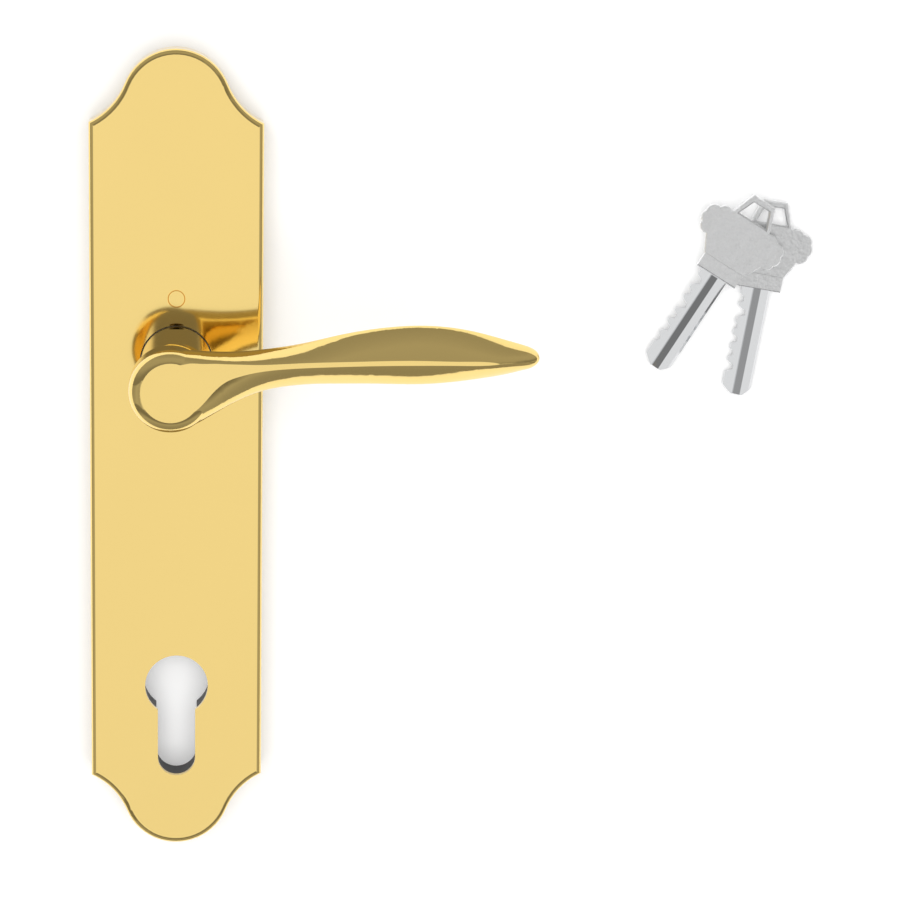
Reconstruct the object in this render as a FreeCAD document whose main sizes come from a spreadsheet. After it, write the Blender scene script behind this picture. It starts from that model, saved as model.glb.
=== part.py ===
import FreeCAD, Part

import math
import os

import Sketcher
from FreeCAD import Matrix, Placement, Rotation, Vector

# A lever door handle on a long escutcheon for a euro-profile lock cylinder, and the lock's two keys.
# Row frame, in millimetres: the escutcheon lies on its back. The origin is on the spindle's axis in the
# plane of the door face, +Z points out of the door, +Y up the door and +X along the lever to its tip.

# ---------------------------------------------------------------- driving dimensions
DRIVING = {
    # escutcheon
    "plate_width": (47.5, "width of the escutcheon"),
    "plate_height": (223.4, "height of the escutcheon, crown to crown"),
    "plate_above": (85.4, "from the spindle's axis to the top of the plate"),
    "plate_depth": (11.0, "door face to the escutcheon's face"),
    "plate_wall": (1.6, "thickness of the brass cover"),
    "plate_bevel": (1.5, "rounding along the rim of the face"),
    "crown_radius": (15.0, "round crown at each end"),
    "crown_rise": (20.0, "from the shoulder corner to the end of the crown"),
    "shoulder_radius": (20.0, "hollow shoulder beside the crown"),
    "carrier_gap": (0.1, "gap between the cover and the carrier"),
    # euro-profile cut-out
    "cylinder_below": (92.0, "spindle's axis to the lock cylinder's axis"),
    "cylinder_head": (8.75, "radius of the cut-out's round head"),
    "cylinder_slot": (10.4, "width of the cut-out's slot"),
    "cylinder_drop": (26.0, "cylinder axis to the bottom of the slot"),
    "carrier_relief": (0.5, "how far the carrier stands back from the cut-out"),
    # fixing posts
    "post_centres": (200.0, "between the two fixing posts"),
    "post_below": (126.0, "spindle's axis to the lower post"),
    "post_radius": (4.0, "barrel of a fixing post"),
    "post_flange": (6.0, "radius of a post's flange"),
    "post_flange_depth": (1.5, "thickness of a post's flange"),
    "post_thread": (2.1, "core radius of the post's thread"),
    "post_thread_depth": (8.4, "depth of the post's thread"),
    # spring chamber
    "chamber_gap": (1.0, "around the driver in the spring chamber"),
    "bearing_wall": (2.0, "carrier wall that holds the bush"),
    "keeper_depth": (1.2, "thickness of the keeper plate"),
    "keeper_width": (40.0, "width of the keeper plate"),
    "keeper_height": (60.0, "height of the keeper plate"),
    "keeper_corner": (4.0, "corner radius of the keeper plate"),
    "keeper_clear": (1.0, "gap round the circlip in the keeper plate's hole"),
    "keeper_screw_x": (14.5, "keeper screws from the middle, across"),
    "keeper_screw_y": (25.5, "keeper screws from the middle, up and down"),
    "keeper_screw": (1.25, "shank radius of a keeper screw"),
    "keeper_screw_end": (6.0, "how far in a keeper screw reaches"),
    "keeper_head": (2.4, "head radius of a keeper screw"),
    "keeper_head_depth": (0.7, "head height of a keeper screw"),
    # studs and screws that hold the cover
    "stud_x": (16.0, "cover studs from the middle, across"),
    "stud_end": (34.2, "from each end of the plate to its cover studs"),
    "stud_radius": (3.0, "radius of a cover stud"),
    "stud_bore_clear": (0.7, "cover screw's end to the bottom of its bore"),
    "stud_foot": (3.7, "door face to the foot of a stud"),
    "cover_screw": (1.45, "shank radius of a cover screw"),
    "cover_screw_end": (7.6, "how far in a cover screw reaches"),
    "cover_head": (2.8, "head radius of a cover screw"),
    "cover_head_depth": (1.7, "head height of a cover screw"),
    "cover_web": (2.2, "door face to the web that a cover screw's head bears on"),
    # lever
    "neck_radius": (9.8, "radius of the lever's neck"),
    "neck_foot": (0.3, "door face to the foot of the neck"),
    "drive_radius": (8.6, "round of the neck's drive end"),
    "drive_flat": (7.0, "axis to each drive flat"),
    "spindle_size": (8.1, "square socket for the spindle"),
    "spindle_depth": (40.0, "door face to the end of the socket"),
    "grub_rise": (3.4, "escutcheon's face to the grub screw's axis"),
    "grub_radius": (2.0, "radius of the grub screw"),
    "grub_setback": (0.7, "neck's surface to the grub screw's outer end"),
    "grub_socket": (1.16, "corner radius of the grub screw's hexagon"),
    "head_back": (41.0, "door face to the back of the lever's head"),
    "head_front": (53.0, "door face to the lever's front face"),
    "head_radius": (11.0, "radius of the lever's head"),
    "head_left": (1.6, "how far the head's centre lies behind the axis"),
    "head_drop": (1.5, "how far the head's centre lies under the axis"),
    "head_round": (3.6, "depth of the rounding around the head's facet"),
    "head_facet": (7.9, "radius of the head's flat facet"),
    "head_edge": (0.8, "broken edge at the back of the head"),
    "lever_reach": (95.9, "axis to the tip of the lever"),
    "grip_height": (15.6, "height of the grip at its fullest"),
    "grip_middle": (47.2, "door face to the middle of the grip"),
    # bearing, washers and ring
    "running_gap": (0.07, "radial clearance of the neck in its bush"),
    "cover_gap": (0.25, "radial gap between the neck and the cover"),
    "bush_wall": (1.5, "wall of the bush"),
    "bush_lip": (1.53, "how far the bush's flange stands out from its barrel"),
    "bush_flange_depth": (0.7, "thickness of the bush's flange"),
    "washer_depth": (0.28, "thickness of each washer"),
    "washer_width": (2.1, "width of the washers' rings"),
    "ring_depth": (0.8, "thickness of the circlip"),
    "ring_proud": (1.0, "how far the circlip stands out of its groove's round"),
    "ring_bite": (0.7, "depth of the circlip's groove"),
    "ring_gap": (28.0, "half angle of the circlip's mouth"),
    # driver, stop pin and spring
    "driver_foot": (1.4, "door face to the underside of the driver"),
    "driver_flange": (1.8, "thickness of the driver's flange"),
    "driver_lip": (2.1, "how far the driver's flange reaches past the stop pin's axis"),
    "hub_wall": (2.2, "how far the driver's hub stands out from the neck"),
    "pin_radius": (2.4, "radius of the stop pin"),
    "pin_edge": (0.25, "broken edge at the stop pin's end"),
    "pin_clear": (0.4, "gap between the coil and the stop pin"),
    "stop_gap": (0.06, "gap at each stop"),
    "lever_travel": (45.0, "travel of the lever, in degrees"),
    "wire": (1.4, "wire of the return spring"),
    "leg_relief": (0.014, "how much slimmer in radius a leg is than the coil"),
    "leg_lap": (0.42, "how far a leg runs past the middle of the coil's wire"),
    "coil_clear": (1.2, "gap between the coil and the driver's hub"),
    "coil_gap": (0.1, "gap between the turns of the coil"),
    "coil_turns": (1.5, "turns of the coil"),
    "coil_rise": (0.25, "gap between the driver's flange and the coil"),
    "leg_reach": (1.0, "how far the fixed leg reaches past the stop pin's axis"),
    "leg_bite": (1.1, "how far the driven leg reaches into the driver's hub"),
    # keys
    "key_thickness": (2.6, "thickness of the bow"),
    "stop_thickness": (2.3, "thickness of the key's stop"),
    "bow_chamfer": (0.35, "broken edge round the bow"),
    "blade_thickness": (2.0, "thickness of the blade"),
    "blade_width": (8.2, "width of the blade"),
    "blade_aside": (0.5, "how far the blade stands off the middle, towards its cuts"),
    "blade_length": (30.5, "tip of the blade to the key's stop"),
    "stop_width": (12.4, "width of the key's stop"),
    "bow_foot": (34.5, "tip to the foot of the bow"),
    "bow_foot_width": (13.0, "width of the bow's foot"),
    "bow_width": (24.8, "width across the bow's wings"),
    "bow_wing": (43.6, "tip to the middle of the wings"),
    "bow_top": (48.6, "tip to the top of the wings"),
    "key_length": (55.5, "overall length of a key"),
    "loop_foot": (6.2, "half width of the ring loop at its foot"),
    "loop_head": (3.5, "half width of the ring loop at its head"),
    "loop_bar": (1.7, "width of the bar around the ring hole"),
    "cut_pitch": (3.9, "spacing of the blade's cuts"),
    "cut_first": (27.0, "tip to the cut nearest the bow"),
    "cut_flat": (1.2, "width of the floor of a cut"),
    "groove_depth": (0.75, "depth of the grooves in the blade"),
    "groove_at": (-1.1, "middle of the blade to the steep side of its groove"),
    "groove_steep": (0.45, "width of a groove's steep side"),
    "groove_width": (2.3, "width of a groove"),
    "back_slope": (0.7, "width of the slope along the blade's plain edge"),
    "rear_key_x": (157.6, "tip of the lower key, across"),
    "rear_key_y": (-10.4, "tip of the lower key, up"),
    "rear_key_turn": (9.6, "lean of the lower key, in degrees"),
    "front_key_x": (134.4, "tip of the upper key, across"),
    "front_key_y": (-2.7, "tip of the upper key, up"),
    "front_key_turn": (31.5, "lean of the upper key, in degrees"),
    "rest_gap": (0.05, "gap where one loose piece lies on another"),
}
CUT_SLOPE = 0.55  # how far each side of a cut leans out, as a share of its depth
FRONT_CUTS = (1.9, 1.2, 2.2, 1.5, 1.7, 0.9)  # depth of each cut of the upper key, from the bow to the tip
REAR_CUTS = (1.2, 2.3, 0.9, 1.6, 1.1, 1.9)  # and of the lower key
# Sections of the grip: distance from the axis, top, bottom, facet's top, facet's bottom, front and back
# above the head's back (no front: the flat facet sets it), and how full the front is (2 is an ellipse).
GRIP_SECTIONS = (
    (0.0, 9.3, -12.2, 6.3, -8.0, None, 0.3, 2.6),
    (3.0, 9.1, -11.4, 6.4, -7.2, None, 0.3, 2.5),
    (6.0, 8.9, -10.1, 6.4, -5.3, None, 0.35, 2.3),
    (9.3, 8.7, -8.2, 6.4, -1.6, None, 0.4, 2.1),
    (12.7, 8.6, -6.2, 6.3, 1.4, None, 0.5, 1.9),
    (16.7, 8.7, -4.1, 6.2, 3.0, None, 0.7, 1.7),
    (20.4, 9.0, -2.5, 6.1, 3.9, None, 0.9, 1.55),
    (25.0, 9.6, -1.2, 6.2, 4.6, None, 1.0, 1.42),
    (33.0, 10.9, -0.1, 6.6, 5.2, None, 0.8, 1.32),
    (43.0, 13.2, 0.2, 6.9, 5.6, None, 0.3, 1.28),
    (53.7, 15.0, 0.2, 7.2, 5.9, None, -0.1, 1.28),
    (64.2, 15.7, 0.1, 7.3, 6.0, None, -0.3, 1.28),
    (74.8, 14.9, 0.9, 7.1, 6.0, None, 0.1, 1.28),
    (82.0, 13.4, 1.9, 7.0, 6.1, None, 1.0, 1.32),
    (87.5, 11.9, 2.9, 7.0, 6.4, 11.7, 2.1, 1.4),
    (91.5, 10.8, 3.9, 7.1, 6.6, 10.9, 3.0, 1.6),
    (94.2, 9.8, 4.8, 7.1, 6.8, 9.9, 4.0, 1.8),
    (95.4, 8.9, 5.8, 7.2, 7.0, 8.8, 5.0, 2.0),
)
GRIP_TIP = (95.9, 7.3, 6.9)  # the tip of the grip, as tabled
GRIP_HEIGHT = 15.6  # height of the fullest section, as tabled
GRIP_DEPTH = 12.0  # back to front of the head, as tabled
SECTION_POINTS = 32  # points that the curve of each section runs through
FLAT = 0.0

doc = FreeCAD.newDocument("lever_handle")
sheet = doc.addObject("Spreadsheet::Sheet", "Sizes")
for row, (alias, (number, meaning)) in enumerate(DRIVING.items(), start=1):
    sheet.set(f"A{row}", meaning)
    sheet.set(f"B{row}", str(number))
    sheet.setAlias(f"B{row}", alias)
doc.recompute()


# ---------------------------------------------------------------- sizes that know their expression
class Size:
    """A number worked out from the sheet: its value now, and the expression that keeps it bound."""

    def __init__(self, value, text):
        self.value = value
        self.text = text

    def __add__(self, other):
        other = as_size(other)
        return Size(self.value + other.value, f"({self.text} + {other.text})")

    def __sub__(self, other):
        other = as_size(other)
        return Size(self.value - other.value, f"({self.text} - {other.text})")

    def __mul__(self, other):
        other = as_size(other)
        return Size(self.value * other.value, f"({self.text} * {other.text})")

    def __truediv__(self, other):
        other = as_size(other)
        return Size(self.value / other.value, f"({self.text} / {other.text})")

    def __neg__(self):
        return Size(-self.value, f"(0 - {self.text})")

    def __radd__(self, other):
        return as_size(other) + self

    def __rsub__(self, other):
        return as_size(other) - self

    def __rmul__(self, other):
        return as_size(other) * self


def as_size(number):
    return number if isinstance(number, Size) else Size(float(number), f"{float(number):.9f}")


def dim(alias):
    return Size(DRIVING[alias][0], f"Sizes.{alias}")


def root(size):
    return Size(math.sqrt(size.value), f"sqrt({size.text})")


def cosine(degrees):
    degrees = as_size(degrees)
    return Size(math.cos(math.radians(degrees.value)), f"cos({degrees.text} * 1 deg)")


def sine(degrees):
    degrees = as_size(degrees)
    return Size(math.sin(math.radians(degrees.value)), f"sin({degrees.text} * 1 deg)")


def polar(radius, degrees):
    """The point at a radius and an angle from +X about the spindle's axis."""
    return (radius * cosine(degrees), radius * sine(degrees))


def turned(point, degrees):
    """A point turned about the origin, anticlockwise."""
    x, y = (as_size(v) for v in point)
    return (x * cosine(degrees) - y * sine(degrees), x * sine(degrees) + y * cosine(degrees))


def bind(thing, prop, size):
    size = as_size(size)
    thing.setExpression(prop, size.text)


# ---------------------------------------------------------------- sketches
def new_body(label):
    made = doc.addObject("PartDesign::Body", label)
    made.Label = label
    return made


def sketch_on(body, plane, name, height=FLAT):
    """A sketch on one of the body's own origin planes, raised along its normal."""
    made = body.newObject("Sketcher::SketchObject", name)
    origin_plane = next(f for f in body.Origin.OriginFeatures if f.Role == plane)
    made.AttachmentSupport = [(origin_plane, "")]
    made.MapMode = "FlatFace"
    bind(made, "AttachmentOffset.Base.z", height)
    return made


def fix(sketch, kind, geometry, point, size, axis):
    """Holds one coordinate of a sketch point to a size, or to the axis where it is zero."""
    size = as_size(size)
    if abs(size.value) < 1e-9:
        sketch.addConstraint(Sketcher.Constraint("PointOnObject", geometry, point, axis))
        return
    index = sketch.addConstraint(Sketcher.Constraint(kind, -1, 1, geometry, point, size.value))
    sketch.setExpression(f"Constraints[{index}]", size.text)


def fix_point(sketch, geometry, point, x, y):
    fix(sketch, "DistanceX", geometry, point, x, -2)
    fix(sketch, "DistanceY", geometry, point, y, -1)


def fix_radius(sketch, geometry, size):
    size = as_size(size)
    index = sketch.addConstraint(Sketcher.Constraint("Radius", geometry, size.value))
    sketch.setExpression(f"Constraints[{index}]", size.text)


def add_circle(sketch, x, y, radius):
    x, y, radius = (as_size(v) for v in (x, y, radius))
    round_edge = Part.Circle(Vector(x.value, y.value, 0), Vector(0, 0, 1), radius.value)
    index = sketch.addGeometry(round_edge)
    fix_radius(sketch, index, radius)
    fix_point(sketch, index, 3, x, y)


def arc_between(start, end, radius):
    """The short arc from start to end: anticlockwise for a positive radius, clockwise for a negative one."""
    chord = end - start
    half = chord.Length / 2
    reach = math.sqrt(max(radius * radius - half * half, 0.0))
    side = Vector(-chord.y, chord.x, 0).normalize()
    centre = (start + end) / 2 + side * (reach if radius > 0 else -reach)
    first, last = (start, end) if radius > 0 else (end, start)
    angles = [math.atan2(p.y - centre.y, p.x - centre.x) for p in (first, last)]
    if angles[1] < angles[0]:
        angles[1] += 2 * math.pi
    return Part.ArcOfCircle(Part.Circle(centre, Vector(0, 0, 1), abs(radius)), angles[0], angles[1])


def add_outline(sketch, corners):
    """A closed outline. Each corner is (x, y) or (x, y, radius of the arc that leads to the next corner)."""
    points = [tuple(as_size(v) for v in corner) for corner in corners]
    first_end, last_end = [], []
    indexes = []
    for k, corner in enumerate(points):
        after = points[(k + 1) % len(points)]
        start = Vector(corner[0].value, corner[1].value, 0)
        end = Vector(after[0].value, after[1].value, 0)
        if len(corner) == 3:
            index = sketch.addGeometry(arc_between(start, end, corner[2].value))
            clockwise = corner[2].value < 0
            fix_radius(sketch, index, -corner[2] if clockwise else corner[2])
        else:
            index = sketch.addGeometry(Part.LineSegment(start, end))
            clockwise = False
        indexes.append(index)
        first_end.append(2 if clockwise else 1)
        last_end.append(1 if clockwise else 2)
    for k, index in enumerate(indexes):
        before = k - 1
        joint = Sketcher.Constraint("Coincident", indexes[before], last_end[before], index, first_end[k])
        sketch.addConstraint(joint)
        fix_point(sketch, index, first_end[k], points[k][0], points[k][1])


def add_rectangle(sketch, left, bottom, right, top):
    add_outline(sketch, [(left, bottom), (right, bottom), (right, top), (left, top)])


def add_round_rectangle(sketch, half_width, half_height, corner):
    w, h, r = half_width, half_height, corner
    corners = [
        (w, -h + r), (w, h - r, r), (w - r, h), (-w + r, h, r),
        (-w, h - r), (-w, -h + r, r), (-w + r, -h), (w - r, -h, r),
    ]
    add_outline(sketch, corners)


def add_hexagon(sketch, x, y, radius):
    add_outline(sketch, [(x + radius * cosine(60 * k), y + radius * sine(60 * k)) for k in range(6)])


# ---------------------------------------------------------------- features
def pad(body, sketch, length, name, reverse=False):
    made = body.newObject("PartDesign::Pad", name)
    made.Profile = sketch
    made.Reversed = reverse
    bind(made, "Length", length)
    doc.recompute()
    return made


def pocket(body, sketch, length, name, upwards=False):
    """Cuts from the sketch's plane: against its normal, or along it when upwards is set."""
    before = body.Shape.Volume
    made = body.newObject("PartDesign::Pocket", name)
    made.Profile = sketch
    made.Reversed = upwards
    bind(made, "Length", length)
    doc.recompute()
    if body.Shape.Volume > before - 1e-6:
        raise RuntimeError(f"{name} cuts nothing")
    return made


def revolve(body, sketch, name, kind="PartDesign::Revolution"):
    """Turns a profile drawn as (radius, height) right round the body's own Z axis."""
    made = body.newObject(kind, name)
    made.Profile = sketch
    made.ReferenceAxis = (sketch, ["V_Axis"])
    made.Angle = 360
    doc.recompute()
    return made


def turned_body(label, profile):
    """A body of revolution about Z from corners given as (radius, height)."""
    body = new_body(label)
    sketch = sketch_on(body, "XZ_Plane", f"{label}_profile")
    add_outline(sketch, profile)
    revolve(body, sketch, f"{label}_turned")
    return body


def edges_at(shape, wanted):
    return [f"Edge{k}" for k, edge in enumerate(shape.Edges, start=1) if wanted(edge)]


def at_height(edge, height):
    box = edge.BoundBox
    return abs(box.ZMin - height) < 1e-4 and abs(box.ZMax - height) < 1e-4


def chamfer_edges(body, wanted, size, name):
    tip = body.Tip
    made = body.newObject("PartDesign::Chamfer", name)
    made.Base = (tip, edges_at(tip.Shape, wanted))
    bind(made, "Size", size)
    doc.recompute()
    return made


def round_edges(body, wanted, radius, name):
    tip = body.Tip
    made = body.newObject("PartDesign::Fillet", name)
    made.Base = (tip, edges_at(tip.Shape, wanted))
    bind(made, "Radius", radius)
    doc.recompute()
    return made


# ---------------------------------------------------------------- sizes that several pieces share
half_width = dim("plate_width") / 2
plate_top = dim("plate_above")
plate_bottom = dim("plate_above") - dim("plate_height")
plate_middle = (plate_top + plate_bottom) / 2
cover_inside = dim("plate_depth") - dim("plate_wall")
carrier_top = cover_inside - dim("carrier_gap")
carrier_inset = dim("plate_wall") + dim("carrier_gap")
chamber_top = carrier_top - dim("bearing_wall")
grub_height = dim("plate_depth") + dim("grub_rise")
upper_post_y = dim("post_centres") - dim("post_below")
lower_post_y = -dim("post_below")
bush_bore = dim("neck_radius") + dim("running_gap")
bush_outer = bush_bore + dim("bush_wall")
bush_flange = bush_outer + dim("bush_lip")
washer_step = dim("washer_depth") + dim("rest_gap") / 5
neck_shoulder = chamber_top - dim("bush_flange_depth") - washer_step * 2 - dim("rest_gap") * 1.4
ring_outer = dim("drive_radius") + dim("ring_proud")
ring_groove = dim("drive_radius") - dim("ring_bite")
keeper_hole = ring_outer + dim("keeper_clear")
driver_hub = dim("neck_radius") + dim("hub_wall")
driver_flange_top = dim("driver_foot") + dim("driver_flange")
coil_radius = driver_hub + dim("coil_clear") + dim("wire") / 2
coil_pitch = dim("wire") + dim("coil_gap")
coil_foot = driver_flange_top + dim("coil_rise") + dim("wire") / 2
pin_above = coil_radius + dim("wire") / 2 + dim("pin_clear") + dim("pin_radius")
driver_outer = pin_above + dim("driver_lip")
chamber_radius = driver_outer + dim("chamber_gap")
leg_outer = pin_above + dim("leg_reach")
leg_inner = driver_hub - dim("leg_bite")
stud_heights = (plate_bottom + dim("stud_end"), plate_top - dim("stud_end"))
stud_places = [(across * dim("stud_x"), y) for across in (-1, 1) for y in stud_heights]
keeper_places = [
    (across * dim("keeper_screw_x"), up * dim("keeper_screw_y")) for across in (-1, 1) for up in (-1, 1)
]


def plate_corners(inset):
    """The escutcheon's outline moved inwards by inset: two round crowns between hollow shoulders."""
    inset = as_size(inset)
    crown = dim("crown_radius")
    hollow = dim("shoulder_radius")
    crown_y = plate_top - plate_middle - crown
    corner_y = plate_top - plate_middle - dim("crown_rise")
    # the hollow's centre is crown + hollow from the crown's centre and one hollow from the corner
    drop = corner_y - crown_y
    apart = root(half_width * half_width + drop * drop)
    reach = crown + hollow
    along = (reach * reach - hollow * hollow + apart * apart) / (2 * apart)
    off = root(reach * reach - along * along)
    centre_x = (half_width * along - drop * off) / apart
    centre_y = crown_y + (drop * along + half_width * off) / apart
    meet_x = centre_x * (crown - inset) / reach
    meet_y = crown_y + (centre_y - crown_y) * (crown - inset) / reach
    side_x = half_width - inset
    outer = hollow + inset
    side_y = centre_y - root(outer * outer - (centre_x - side_x) * (centre_x - side_x))
    top, bottom = plate_middle + side_y, plate_middle - side_y
    return [
        (side_x, bottom), (side_x, top, -outer), (meet_x, plate_middle + meet_y, crown - inset),
        (-meet_x, plate_middle + meet_y, -outer), (-side_x, top), (-side_x, bottom, -outer),
        (-meet_x, plate_middle - meet_y, crown - inset), (meet_x, plate_middle - meet_y, -outer),
    ]


def cylinder_corners(relief):
    """The euro profile: a round head over a slot with a round foot, opened out by relief."""
    relief = as_size(relief)
    axis_y = -dim("cylinder_below")
    head = dim("cylinder_head") + relief
    half = dim("cylinder_slot") / 2 + relief
    foot_y = axis_y - dim("cylinder_drop") - relief + half
    neck_y = axis_y - root(head * head - half * half)
    return [
        (half, foot_y), (half, neck_y, head), (head, axis_y, head), (0, axis_y + head, head),
        (-head, axis_y, head), (-half, neck_y), (-half, foot_y, half), (0, foot_y - half, half),
    ]


# ---------------------------------------------------------------- escutcheon
def make_cover_plate():
    body = new_body("cover_plate")
    rim = sketch_on(body, "XY_Plane", "cover_rim")
    add_outline(rim, plate_corners(0))
    pad(body, rim, dim("plate_depth"), "cover_blank")
    round_edges(body, lambda e: at_height(e, dim("plate_depth").value), dim("plate_bevel"), "cover_round")
    hollow = sketch_on(body, "XY_Plane", "cover_hollow")
    add_outline(hollow, plate_corners(dim("plate_wall")))
    pocket(body, hollow, cover_inside, "cover_inside", upwards=True)
    holes = sketch_on(body, "XY_Plane", "cover_holes", dim("plate_depth"))
    add_circle(holes, 0, 0, dim("neck_radius") + dim("cover_gap"))
    add_circle(holes, 0, pin_above, dim("pin_radius"))
    add_outline(holes, cylinder_corners(0))
    pocket(body, holes, dim("plate_wall") * 2, "cover_openings")
    return body


def make_cover_studs():
    body = new_body("cover_studs")
    barrel = sketch_on(body, "XY_Plane", "stud_barrels", dim("stud_foot"))
    for x, y in stud_places:
        add_circle(barrel, x, y, dim("stud_radius"))
    pad(body, barrel, cover_inside - dim("stud_foot"), "stud_barrel")
    bore = sketch_on(body, "XY_Plane", "stud_bores", dim("stud_foot"))
    for x, y in stud_places:
        add_circle(bore, x, y, dim("cover_screw") + dim("rest_gap"))
    depth = dim("cover_screw_end") - dim("stud_foot") + dim("stud_bore_clear")
    pocket(body, bore, depth, "stud_bore", upwards=True)
    return body


def make_cover_screws():
    head_foot = dim("cover_web") - dim("cover_head_depth")
    body = new_body("cover_screws")
    heads = sketch_on(body, "XY_Plane", "cover_screw_heads", head_foot)
    for x, y in stud_places:
        add_circle(heads, x, y, dim("cover_head"))
    pad(body, heads, dim("cover_head_depth"), "cover_screw_head")
    shanks = sketch_on(body, "XY_Plane", "cover_screw_shanks", head_foot)
    for x, y in stud_places:
        add_circle(shanks, x, y, dim("cover_screw"))
    pad(body, shanks, dim("cover_screw_end") - head_foot, "cover_screw_shank")
    sockets = sketch_on(body, "XY_Plane", "cover_screw_sockets", head_foot)
    for x, y in stud_places:
        add_hexagon(sockets, x, y, dim("cover_head") * 0.5)
    pocket(body, sockets, dim("cover_head_depth") * 0.6, "cover_screw_socket", upwards=True)
    return body


def make_carrier_plate():
    body = new_body("carrier_plate")
    rim = sketch_on(body, "XY_Plane", "carrier_rim")
    add_outline(rim, plate_corners(carrier_inset))
    pad(body, rim, carrier_top, "carrier_blank")
    cut_from_back(body, "keeper_recess", dim("keeper_depth"), lambda s: add_round_rectangle(
        s, dim("keeper_width") / 2 + dim("carrier_gap"), dim("keeper_height") / 2 + dim("carrier_gap"),
        dim("keeper_corner")))
    cut_from_back(body, "chamber", chamber_top, lambda s: add_circle(s, 0, 0, chamber_radius))
    cut_from_back(body, "bush_seat", carrier_top, lambda s: add_circle(s, 0, 0, bush_outer))
    cut_from_back(body, "pin_seat", carrier_top, lambda s: add_circle(
        s, 0, pin_above, dim("pin_radius")))
    cut_from_back(body, "cylinder_way", carrier_top, lambda s: add_outline(
        s, cylinder_corners(dim("carrier_relief"))))
    for name, y in (("upper", upper_post_y), ("lower", lower_post_y)):
        cut_from_back(body, f"{name}_post_seat", carrier_top, lambda s: add_circle(
            s, 0, y, dim("post_radius")))
        cut_from_front(body, f"{name}_flange_seat", dim("post_flange_depth"), lambda s: add_circle(
            s, 0, y, dim("post_flange")))
    for k, (x, y) in enumerate(stud_places):
        cut_from_back(body, f"screw_way_{k}", carrier_top, lambda s: add_circle(
            s, x, y, dim("cover_screw") + dim("carrier_gap")))
        cut_from_back(body, f"screw_seat_{k}", dim("cover_web"), lambda s: add_circle(
            s, x, y, dim("cover_head") + dim("carrier_gap")))
        cut_from_front(body, f"stud_seat_{k}", carrier_top - dim("stud_foot"), lambda s: add_circle(
            s, x, y, dim("stud_radius") + dim("carrier_gap")))
    for k, (x, y) in enumerate(keeper_places):
        cut_from_back(body, f"keeper_thread_{k}", dim("keeper_screw_end") + dim("carrier_gap"),
                      lambda s: add_circle(s, x, y, dim("keeper_screw") + dim("rest_gap")))
    rib = dim("plate_wall") * 1.5
    pocket_half = half_width - carrier_inset - rib
    pocket_top = -dim("keeper_height") / 2 - rib
    pocket_bottom = -dim("cylinder_below") + dim("cylinder_head") + rib * 2
    pitch = (pocket_top - pocket_bottom + rib) / 3
    for k in range(3):
        top = pocket_top - pitch * k
        cut_from_back(body, f"lightening_{k}", chamber_top, lambda s: add_rectangle(
            s, -pocket_half, top - pitch + rib, pocket_half, top))
    return body


def cut_from_back(body, name, depth, draw):
    sketch = sketch_on(body, "XY_Plane", f"{name}_sketch")
    draw(sketch)
    pocket(body, sketch, depth, name, upwards=True)


def cut_from_front(body, name, depth, draw):
    sketch = sketch_on(body, "XY_Plane", f"{name}_sketch", carrier_top)
    draw(sketch)
    pocket(body, sketch, depth, name)


def make_fixing_post(label, y):
    """A flanged sleeve with a blind thread that opens at the door face."""
    barrel, flange, core = dim("post_radius"), dim("post_flange"), dim("post_thread")
    flange_foot = carrier_top - dim("post_flange_depth")
    thread_top = dim("post_thread_depth")
    body = turned_body(label, [
        (core, 0), (barrel, 0), (barrel, flange_foot), (flange, flange_foot), (flange, carrier_top),
        (0, carrier_top), (0, thread_top), (core, thread_top),
    ])
    bind(body, "Placement.Base.y", y)
    return body


def make_keeper_plate():
    body = new_body("keeper_plate")
    sheet_metal = sketch_on(body, "XY_Plane", "keeper_outline")
    add_round_rectangle(
        sheet_metal, dim("keeper_width") / 2, dim("keeper_height") / 2, dim("keeper_corner"))
    add_circle(sheet_metal, 0, 0, keeper_hole)
    for x, y in keeper_places:
        add_circle(sheet_metal, x, y, dim("keeper_screw") + dim("carrier_gap"))
    pad(body, sheet_metal, dim("keeper_depth"), "keeper_sheet")
    seats = sketch_on(body, "XY_Plane", "keeper_seats")
    for x, y in keeper_places:
        add_circle(seats, x, y, dim("keeper_head") + dim("carrier_gap"))
    pocket(body, seats, dim("keeper_head_depth") + dim("carrier_gap"), "keeper_seat", upwards=True)
    return body


def make_keeper_screws():
    foot = dim("carrier_gap")
    body = new_body("keeper_screws")
    heads = sketch_on(body, "XY_Plane", "keeper_screw_heads", foot)
    for x, y in keeper_places:
        add_circle(heads, x, y, dim("keeper_head"))
    pad(body, heads, dim("keeper_head_depth"), "keeper_screw_head")
    shanks = sketch_on(body, "XY_Plane", "keeper_screw_shanks", foot)
    for x, y in keeper_places:
        add_circle(shanks, x, y, dim("keeper_screw"))
    pad(body, shanks, dim("keeper_screw_end") - foot, "keeper_screw_shank")
    sockets = sketch_on(body, "XY_Plane", "keeper_screw_sockets", foot)
    for x, y in keeper_places:
        add_hexagon(sockets, x, y, dim("keeper_head") * 0.4)
    pocket(body, sockets, dim("keeper_head_depth") * 0.8, "keeper_screw_socket", upwards=True)
    return body


def make_stop_pin():
    """The pin that stops the driver: its end is dressed flush with the escutcheon's face."""
    foot, top = dim("keeper_depth") + dim("rest_gap"), dim("plate_depth")
    radius, break_edge = dim("pin_radius"), dim("pin_edge")
    body = turned_body("stop_pin", [
        (0, foot), (radius, foot), (radius, top - break_edge), (radius - break_edge, top), (0, top)])
    bind(body, "Placement.Base.y", pin_above)
    return body


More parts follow.
